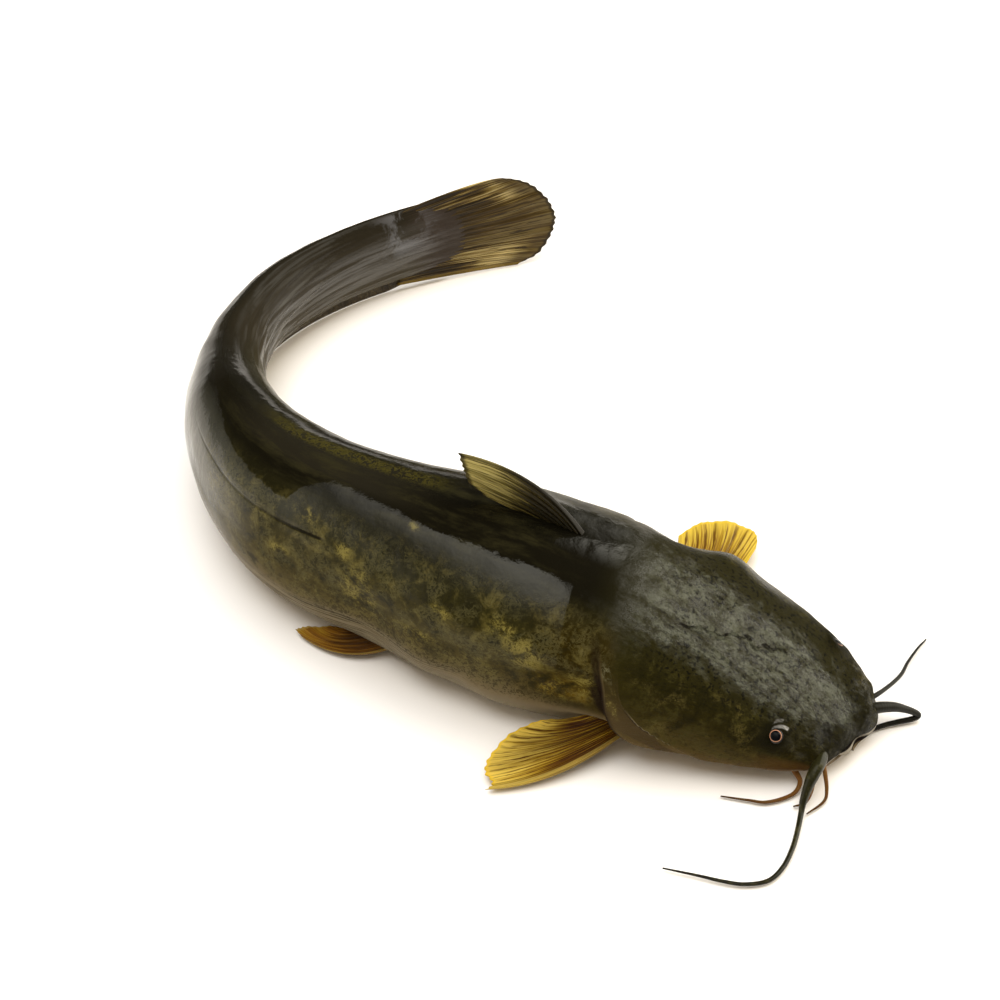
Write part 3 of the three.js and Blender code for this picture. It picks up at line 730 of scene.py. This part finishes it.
# The slime's torn edges: the sheet on the crown and the one along the right flank.
tear = noise(where, 70, 6, 0.75, 0.6)
crown_on = span(scaled(tear, 22.0, total(field("off_crown"), -11.0)), -0.5, 2.5)
scraps = product(span(drawn_out(11, 4.5, 8, 0.82), 0.38, 0.57, 0.25, 1.0),
    span(flecks, 0.37, 0.455, 0.38, 1.0))
crown_wide = span(scaled(swirl, 44.0, total(field("off_crown"), -16.0)), -1.0, 6.0)
crown_on = larger(crown_on, product(crown_wide, 0.38))
collar = product(between(t_at, 0.165, 0.185, 0.235, 0.245),
    between(side_at, 14.0, 20.0, 34.0, 44.0), span(swirl, 0.44, 0.56, 0.0, 0.08))
crown_wet = product(crown_on, scraps, span(t_at, 0.215, 0.19), scaled(pores, -0.42, 1.0))
# Painted sheen: a pale grey-green under the crown's slime stands for the slime's soft reflection.
crown_sheen = product(crown_on, span(drawn_out(9, 5, 8, 0.8), 0.45, 0.6), span(t_at, 0.2, 0.17))
colour = painted(colour, (0.108, 0.116, 0.078), crown_sheen, scaled(pores, -0.6, 1.0), 0.5)
snout_wet = product(span(t_at, 0.055, 0.03), span(swirl, 0.46, 0.6, 0.0, 0.5),
    span(side_at, 66.0, 50.0), span(flecks, 0.38, 0.45, 0.3, 1.0))
crown_wet = larger(larger(crown_wet, collar), snout_wet)
veil_off = scaled(noise(where, 45, 6, 0.78, 0.4), 11.0, total(field("off_veil"), -5.5))
veil_on = product(span(veil_off, 0.0, 0.8), span(scaled(tear, 0.006, t_at), 0.2395, 0.2405))
sheet = larger(veil_on, span(side_at, 5.0, -7.0))
sheet = larger(larger(sheet, span(t_at, 0.6, 0.68)), span(t_at, 0.205, 0.19))
inner = product(span(side_at, -4.0, -12.0), span(t_at, 0.6, 0.68))
folds = span(drawn_out(60, 5.5, 4, 0.6), 0.38, 0.6, -0.9, 0.0)
sheet = product(sheet, scaled(inner, folds, 1.0))
film = product(larger(product(field("wet"), sheet), crown_wet), scaled(shaded_creases, -0.9, 1.0))
show(add("BsdfPrincipled", {"Base Color": colour, "Roughness": 0.5, "Specular IOR Level": 0.015,
    "Normal": bump, "Coat Weight": film, "Coat Roughness": span(t_at, 0.19, 0.24, 0.2, 0.05),
    "Coat IOR": 1.5, "Coat Normal": bump}))
skin.data.materials.append(wet_skin)
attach(skin, "root")
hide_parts("catfish")

# Fins. Each is a thin skin on a fan of soft rays that divide towards the margin. It grows out
# of the body along a short root; the rays stand proud on both faces and the webs sink between.


def spline(points, x):
    """Point at x, counted in pieces from 0, along a smooth curve through the points: uniform
    Catmull-Rom pieces, ends mirrored."""
    p = np.concatenate([[2 * points[0] - points[1]], points, [2 * points[-1] - points[-2]]])
    i = np.minimum(x.astype(int), len(points) - 2)
    f = (x - i)[..., None]
    a, b, c, d = p[i], p[i + 1], p[i + 2], p[i + 3]
    return 0.5 * (2 * b + (c - a) * f + (2 * a - 5 * b + 4 * c - d) * f ** 2
                  + (3 * b - 3 * c + d - a) * f ** 3)


EDGE_HALF = 0.4
ABOVE_FLOOR = 0.05
STEPS_A_RAY, STEPS_OUT = 14, 48


def fin(name, root, mid, margin, rays, root_half, ridge, seed, notch=0.012, spine=0.0):
    """A blade over two parameters, u from first ray to last and v from root to margin. Each ray
    is a parabola from root past mid to margin, three curves given as stations, sides and
    heights. The half thickness falls from root to edge and rises by ridge on the rays and by
    spine on the stout first one; ray tips stand out of the margin by the share notch."""
    rng = np.random.default_rng(seed)
    nu, nv = rays * STEPS_A_RAY + 1, STEPS_OUT
    u, v = np.meshgrid(np.linspace(0, 1, nu), np.linspace(0, 1, nv), indexing="ij")
    tips = np.interp(u[:, 0] * rays, np.arange(rays + 1), rng.uniform(-1, 1, rays + 1))
    scallop = np.cos(2 * np.pi * rays * u[:, 0])
    reach = 1 - notch * (0.5 - 0.5 * scallop) - notch * 0.5 * (0.5 - 0.5 * tips)
    w = (v * reach[:, None])[..., None]
    uu = u + 0.003 * np.sin(v * 9 + seed) * np.sin(np.pi * u)
    a, m, b = (spline(place(*np.transpose(line)), np.clip(uu, 0, 1) * (len(line) - 1))
               for line in (root, mid, margin))
    sheet = a * (1 - w) * (1 - 2 * w) + m * 4 * w * (1 - w) + b * w * (2 * w - 1)
    normal = unit(np.cross(np.gradient(sheet, axis=0), np.gradient(sheet, axis=1)))
    web = root_half + (EDGE_HALF - root_half) * v ** 0.6
    ray = 0.5 + 0.5 * np.cos(2 * np.pi * rays * u)
    branch = 0.5 + 0.5 * np.cos(6 * np.pi * rays * u)
    proud = ridge * (ray ** 2 * (1 - 0.7 * v) + 0.4 * branch ** 2 * ease(0.3, 0.6, v) * (1 - v))
    half = web * 0.7 + proud + spine * bell(u - 0.02, 0.035) * (1 - v) ** 0.5
    half = half * np.clip(np.minimum(u, 1 - u) * rays * 4 + 0.5, 0, 1)
    wave = 0.3 * ease(0.3, 1, v) * np.sin(2 * np.pi * rays * u / 3 + seed)
    sheet = sheet + normal * wave[..., None]
    top = sheet + normal * half[..., None]
    low = sheet - normal * half[..., None]
    n = nu * nv
    i, j = np.meshgrid(np.arange(nu - 1), np.arange(nv - 1), indexing="ij")
    q = i * nv + j
    upper = np.stack([q, q + nv, q + nv + 1, q + 1], -1).reshape(-1, 4)
    lower = upper[:, ::-1] + n
    rim = np.concatenate([
        np.arange(nu - 1) * nv, (nu - 1) * nv + np.arange(nv - 1),
        np.arange(nu - 1, 0, -1) * nv + nv - 1, np.arange(nv - 1, 0, -1)])
    after = np.roll(rim, -1)
    side = np.stack([rim, rim + n, after + n, after], -1)
    points = np.concatenate([top.reshape(-1, 3), low.reshape(-1, 3)])
    points[:, 2] = np.maximum(points[:, 2], ABOVE_FLOOR)
    return mesh_object(name, points * MM, np.concatenate([upper, lower, side]), {
        "across": np.tile((u * rays).reshape(-1), 2), "out": np.tile(v.reshape(-1), 2),
        "share": np.tile(u.reshape(-1), 2)})


def fin_material(name, stops, root_shade, edge, first_ray, glow_through, base_to, seed,
                 lines=0.6, each=1.0, leading=0.06, centre=0.0, broad=1.1, outer=0.14):
    """Wet fin skin. Long streaks along the rays run through the colour stops from dark to pale;
    thin dark lines lie between rays, so many for each. Broad sets how much wide streaks differ,
    outer how much the fin pales outwards. The root is shaded, the margin and the stout leading
    ray, up to a share of the fin, are tinted, and centre darkens the fin's middle. The share
    glow_through of the light passes through."""
    made = new_material(name)
    across, out, share = (field(key) for key in ("across", "out", "share"))
    along = add("CombineXYZ", {0: across, 1: out, 2: seed}).outputs[0]
    stretch = lambda x, y, detail: noise(add("VectorMath", {0: along, 1: (x, y, 1.0)},
        operation="MULTIPLY").outputs[0], 1.0, detail, 0.6)
    wide = stretch(0.55, 1.1, 2.0)
    fine = stretch(4.0, 1.6, 3.0)
    hair = stretch(14.0, 3.0, 2.0)
    tone = scaled(fine, 0.8, scaled(wide, broad, 0.13 - broad * 0.5))
    tone = scaled(hair, 0.5, total(tone, -0.24 - outer * 0.4))
    tone = scaled(span(out, 0.25, 0.95), outer, tone)
    colour = ramp(tone, stops)
    sway = scaled(stretch(0.9, 1.6, 3.0), 1.6, -0.8)
    wave = sums("COSINE", product(total(across, sway), 2 * math.pi * each))
    dark = product(span(wave, -0.45, -0.9), span(fine, 0.66, 0.5), span(out, 1.0, 0.8, 0.5, 1.0),
        lines)
    if centre:
        middle = between(scaled(wide, 0.3, share), 0.35, 0.55, 0.75, 0.95)
        rear = span(scaled(wide, 0.3, out), 0.85, 1.05)
        dusk = product(larger(middle, rear), centre)
        colour = painted(colour, stops[1][1], dusk)
    base = product(span(scaled(wide, 0.25, out), base_to + 0.12, base_to * 0.3 + 0.12),
        span(fine, 0.35, 0.65, 1.0, 0.5), span(share, 0.2, 0.5, 0.55, 1.0))
    colour = painted(colour, root_shade, base)
    colour = painted(colour, stops[0][1], dark)
    colour = painted(colour, edge, span(out, 0.955, 0.985, 0.0, 0.85))
    front = product(span(share, leading, leading * 0.8),
        span(stretch(9.0, 0.8, 2.0), 0.62, 0.45, 0.2, 0.7))
    colour = painted(colour, first_ray, front)
    # Painted shade: a dark line in the groove beside the stout leading ray.
    groove_shade = product(span(share, leading * 0.82, leading * 0.95),
        span(share, leading * 1.25, leading * 1.05), 0.45)
    colour = painted(colour, stops[0][1], groove_shade)
    bump = bumped(scaled(hair, 0.0002, product(fine, 0.0003)))
    wet = add("BsdfPrincipled", {"Base Color": colour, "Roughness": 0.4, "Specular IOR Level": 0.08,
        "Normal": bump, "Coat Weight": 0.15, "Coat Roughness": 0.12})
    through_light = add("BsdfTranslucent", {"Color": colour, "Normal": bump})
    show(add("MixShader", {0: glow_through, 1: wet.outputs[0], 2: through_light.outputs[0]}))
    return made


golden = fin_material("golden_fin", [(0.27, (0.06, 0.02, 0.003)), (0.4, (0.24, 0.1, 0.006)),
    (0.53, (0.6, 0.36, 0.02)), (0.72, (0.95, 0.7, 0.12))], (0.042, 0.014, 0.004), (0.8, 0.56, 0.05),
    (0.5, 0.38, 0.1), 0.28, 1.4, 1.0, 0.85, 1.5, 0.11, broad=0.55, outer=0.34)
sunny = fin_material("sunny_fin", [(0.22, (0.1, 0.038, 0.005)), (0.36, (0.34, 0.18, 0.014)),
    (0.5, (0.62, 0.4, 0.022)), (0.74, (0.88, 0.66, 0.08))], (0.13, 0.048, 0.008), (0.7, 0.5, 0.04),
    (0.74, 0.54, 0.03), 0.24, 1.45, 4.0, 0.9, 0.8, 0.1, broad=0.8, outer=0.45)
amber = fin_material("amber_fin", [(0.28, (0.06, 0.02, 0.002)), (0.45, (0.16, 0.065, 0.005)),
    (0.6, (0.3, 0.14, 0.012)), (0.8, (0.45, 0.27, 0.03))], (0.05, 0.022, 0.006), (0.42, 0.3, 0.07),
    (0.38, 0.27, 0.06), 0.25, 0.9, 7.0, 0.3)
olive = fin_material("olive_fin", [(0.31, (0.01, 0.007, 0.002)), (0.5, (0.05, 0.038, 0.008)),
    (0.64, (0.19, 0.155, 0.036)), (0.77, (0.54, 0.46, 0.15))], (0.012, 0.01, 0.003),
    (0.02, 0.015, 0.004), (0.009, 0.007, 0.003), 0.05, 1.1, 2.0, 0.85, 2.6, 0.05, broad=0.7,
    outer=0.4)
bronze = fin_material("bronze_fin", [(0.34, (0.016, 0.01, 0.003)), (0.45, (0.06, 0.036, 0.008)),
    (0.55, (0.2, 0.135, 0.034)), (0.7, (0.58, 0.46, 0.19))], (0.022, 0.015, 0.009),
    (0.02, 0.014, 0.006), (0.26, 0.17, 0.03), 0.08, 0.5, 5.0, 0.8, 2.0, 0.05, 0.85)
dusky = fin_material("dusky_fin", [(0.3, (0.012, 0.009, 0.004)), (0.5, (0.03, 0.021, 0.009)),
    (0.75, (0.06, 0.044, 0.02))], (0.02, 0.015, 0.008), (0.18, 0.14, 0.07), (0.02, 0.015, 0.008),
    0.05, 0.5, 6.0, 0.4)

flip = lambda line: [(t, -side, z) for t, side, z in line]
pelvic_root = [(0.378, -30, 7), (0.39, -26, 8), (0.404, -22, 8)]
pelvic_mid = [(0.41, -42, 4), (0.418, -38, 6), (0.414, -29, 8.5)]
pelvic_margin = [(0.4445, -42, 3), (0.4505, -40, 3.5), (0.4455, -37, 5), (0.436, -33.5, 6),
                 (0.425, -30, 7)]
FINS = [
    ("dorsal_fin", olive, [(0.239, 8, 85), (0.252, 8.5, 86.5), (0.268, 8.5, 89)],
     [(0.2835, 8, 114.5), (0.286, 8, 101), (0.288, 8, 91.5)],
     [(0.344, 8, 120.8), (0.341, 8, 114.5), (0.339, 8, 108.5), (0.3345, 8, 103),
      (0.323, 8, 97.5)], 7, 2.2, 0.6, 1, 0.008),
    ("pectoral_fin_right", golden, [(0.185, -44, 11), (0.193, -42, 16), (0.203, -40, 22)],
     [(0.224, -72, 5), (0.236, -63, 11), (0.222, -47, 19)],
     [(0.268, -90, 3), (0.265, -86, 4), (0.272, -82, 5), (0.273, -74, 7), (0.266, -62, 10),
      (0.253, -53, 13), (0.238, -49, 16)], 13, 2.6, 0.5, 2, 0.016, 1.0),
    ("pectoral_fin_left", sunny, [(0.144, 40, 15), (0.163, 40, 18), (0.18, 40, 22)],
     [(0.1355, 76, 12), (0.153, 77, 16), (0.183, 64, 21)],
     [(0.132, 96, 9), (0.1345, 105.5, 9.5), (0.1415, 108, 10), (0.154, 108, 12),
      (0.168, 103, 14), (0.178, 95, 17), (0.187, 82, 20)], 13, 2.6, 0.6, 3, 0.007),
    ("pelvic_fin_right", amber, pelvic_root, pelvic_mid, pelvic_margin, 9, 2.0, 0.25, 4),
    ("pelvic_fin_left", amber, flip(pelvic_root), flip(pelvic_mid), flip(pelvic_margin),
     9, 2.0, 0.25, 5),
    ("tail_fin", bronze, [(0.93, 0, 4.6), (0.95, 0, 29), (0.93, 0, 53)],
     [(1.005, 0, 1.8), (1.035, 0, 29), (1.005, 0, 59)],
     [(1.056, 0, 0.9), (1.08, 0, 6.5), (1.095, 0, 19), (1.099, 0, 30), (1.09, 0, 43),
      (1.071, 0, 54.5), (1.046, 0, 60.3)], 17, 1.8, 0.35, 6, 0.012),
]
for name, finish, *shape in FINS:
    piece = fin(name, *shape)
    piece.data.materials.append(finish)
    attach(piece, "root")
    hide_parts("catfish")

# Anal fin. A long low fin under the tail from the vent to the tail fin, its free edge on the
# floor. Its many short rays lean back.
ANAL_FROM, ANAL_TO, ANAL_SWAY, ANAL_RAYS = 0.47, 0.975, -2.5, 74
u, v = np.meshgrid(np.linspace(0, 1, 560), np.linspace(0, 1, 10), indexing="ij")
anal_t = ANAL_FROM + (ANAL_TO - ANAL_FROM) * u + 0.006 * v
anal_top = np.maximum(through(BELLY_AT, BELLY_HEIGHT, anal_t), 0) + 5
anal_low = 0.6 + 3.6 * ease(0.915, 0.955, anal_t)
anal_sheet = place(anal_t, ANAL_SWAY * v * v, anal_top * (1 - v) + anal_low * v)
anal_half = 1.5 - 1.1 * v + 0.25 * np.cos(2 * np.pi * ANAL_RAYS * u) * (1 - v)
anal_normal = unit(np.cross(np.gradient(anal_sheet, axis=0), np.gradient(anal_sheet, axis=1)))
anal_wall = anal_normal * anal_half[..., None]
anal_rings = np.concatenate([anal_sheet + anal_wall, (anal_sheet - anal_wall)[:, ::-1]], 1)
anal_rings[..., 2] = np.maximum(anal_rings[..., 2], ABOVE_FLOOR)
doubled = lambda grid: np.concatenate([grid, grid[:, ::-1]], 1)
anal = closed_tube("anal_fin", anal_rings, {"across": doubled(u * ANAL_RAYS), "out": doubled(v),
    "share": doubled(u)})
anal.data.materials.append(dusky)
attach(anal, "root")
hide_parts("catfish")

# Barbels. Soft tapering feelers: one long stout pair from above the mouth corners, the right
# one trailing out over the floor and the left one doubled back, and short ones from the chin.
BARBELS = [
    ("barbel_right", "dark",
     [(-22, -6, 15), (-18.5, -12, 18), (-18.5, -18, 18), (-19.7, -23.7, 16), (-20.6, -28.7, 12),
      (-21.0, -33.8, 7.4), (-20.6, -38.0, 4.6), (-20.0, -46.4, 2.8), (-20.0, -57.0, 2.3),
      (-21.8, -68.4, 2.1), (-26.5, -77.5, 2), (-36, -83, 2), (-46, -85, 2), (-57.5, -86, 2),
      (-74, -87.8, 2)],
     (2.6, 3.0, 3.2, 3.0, 2.4, 1.8, 1.4, 1.3, 1.25, 1.2, 1.1, 1.0, 0.9, 0.7, 0.4)),
    ("barbel_left", "black",
     [(-16, 12, 12), (-3, 22, 17), (7, 30, 14), (15, 35, 9), (20.7, 37.4, 4.6), (19, 35.5, 2.8),
      (12, 31, 2.4), (5, 26, 2.2), (-7, 15, 2)], (3.2, 3.0, 2.6, 1.9, 1.6, 1.5, 1.4, 1.3, 1.0)),
    ("barbel_left_thin", "black",
     [(-12, 20, 16), (-3, 29, 18), (3, 41, 14), (8, 56, 8), (10, 69, 4), (13, 81, 2),
      (16, 89, 1.2)], (1.4, 1.3, 1.1, 1.0, 0.8, 0.6, 0.4)),
    ("chin_barbel_right", "brown",
     [(-28, -12, 9), (-29, -17, 7), (-25, -21, 4), (-27, -28, 2), (-37, -36, 1.8),
      (-46, -38, 1.6), (-59, -40, 1.2)], (1.9, 1.6, 1.2, 1.0, 0.85, 0.65, 0.35)),
    ("chin_barbel_front", "brown",
     [(-18, -10, 12), (-15, -17, 12), (-12, -22, 5), (-12, -27, 2.2), (-18, -36, 1.6)],
     (1.2, 1.1, 0.9, 0.7, 0.35)),
    ("chin_barbel_inner", "brown",
     [(-22, -9, 8), (-19, -21, 4), (-20, -30, 2), (-25, -34, 1.4)], (1.2, 1.1, 0.8, 0.35)),
]
FEELER_SIDES, FEELER_STEPS = 20, 34


def feeler(name, path, radii):
    """A round tube along a smooth curve through points given from the snout: circles across
    the curve's direction, their radius smoothly through the radii."""
    p = np.array([from_snout(*point) for point in path])
    n = len(p) - 1
    x = np.linspace(0, n, FEELER_STEPS * n + 1)
    line = spline(p, x)
    ahead = unit(np.gradient(line, axis=0))
    across = unit(np.cross(ahead, [0.02, 0.01, 1.0]))
    a = (np.arange(FEELER_SIDES) / FEELER_SIDES * 2 * np.pi)[:, None]
    rings = line[:, None] + through(np.arange(n + 1), radii, x)[:, None, None] * (
        across[:, None] * np.cos(a) + np.cross(across, ahead)[:, None] * np.sin(a))
    rings[..., 2] = np.maximum(rings[..., 2], ABOVE_FLOOR)
    return closed_tube(name, rings, {"along": np.repeat((x / n)[:, None], FEELER_SIDES, 1)})


def feeler_material(name, root, tip, sheen, gloss):
    """Wet feeler skin, root colour turning to tip colour, with faint rings and blotches of painted
    sheen.
    """
    made = new_material(name)
    where = add("TexCoord").outputs["Object"]
    along = field("along")
    blotch = noise(where, 260, 4, 0.6)
    colour = blend(along, (*root, 1), (*tip, 1))
    colour = painted(colour, sheen, span(blotch, 0.5, 0.7, 0.0, 0.5))
    rings = sums("SINE", product(along, 420))
    bump = bumped(scaled(noise(where, 500, 2), 0.0001, product(rings, 0.00003)))
    show(add("BsdfPrincipled", {"Base Color": colour, "Roughness": 0.4, "Specular IOR Level": 0.1,
        "Normal": bump, "Coat Weight": gloss, "Coat Roughness": 0.12}))
    return made


barbel_finish = {
    "dark": feeler_material("dark_barbel", (0.016, 0.015, 0.004), (0.006, 0.0045, 0.002),
                            (0.05, 0.045, 0.015), 0.4),
    "black": feeler_material("black_barbel", (0.01, 0.009, 0.005), (0.006, 0.005, 0.003),
                             (0.02, 0.018, 0.01), 0.06),
    "brown": feeler_material("brown_barbel", (0.2, 0.085, 0.015), (0.045, 0.019, 0.005),
                             (0.12, 0.07, 0.02), 0.15),
}
for name, tone, path, radii in BARBELS:
    piece = feeler(name, path, radii)
    piece.data.materials.append(barbel_finish[tone])
    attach(piece, "root")
    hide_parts("catfish")

# Eyes. Small lidless eyes set in the sides of the head: a dark ball under clear skin, with a
# black pupil inside a thin orange-pink ring.
EYE_RADIUS, EYE_FLATNESS, EYE_SUNK, EYE_STEPS = 3.7, 0.72, 1.3, 60
eye_finish = new_material("eye")
eye_colour = ramp(field("ring"), [
    (0.0, (0.002, 0.002, 0.003)), (0.46, (0.002, 0.002, 0.003)), (0.49, (0.4, 0.2, 0.12)),
    (0.545, (0.4, 0.2, 0.12)), (0.58, (0.004, 0.003, 0.002)), (1.0, (0.006, 0.005, 0.003))])
show(add("BsdfPrincipled", {"Base Color": eye_colour, "Roughness": 0.2, "Specular IOR Level": 0.1,
                            "Coat Weight": 0.15, "Coat Roughness": 0.02}))
for side_name, spot in eye_spots.items():
    sign = -1 if side_name == "right" else 1
    out = unit(spot - place(0.062, sign * 24, 18.0))
    first = unit(np.cross(out, [0, 0, 1.0]))
    second = np.cross(first, out)
    polar = np.linspace(0.02, np.pi - 0.02, EYE_STEPS)
    a = (np.arange(EYE_STEPS) / EYE_STEPS * 2 * np.pi)[:, None]
    forward = EYE_RADIUS * np.cos(polar) * np.where(polar < np.pi / 2, EYE_FLATNESS, 1.0)
    sideways = EYE_RADIUS * np.sin(polar)
    rings = (spot + (forward - EYE_SUNK)[:, None, None] * out
             + sideways[:, None, None] * (first * np.cos(a) + second * np.sin(a)))
    piece = closed_tube("eye_" + side_name, rings, {
        "ring": np.repeat((polar / (np.pi / 2))[:, None], EYE_STEPS, 1)})
    piece.data.materials.append(eye_finish)
    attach(piece, "root")
    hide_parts("catfish")
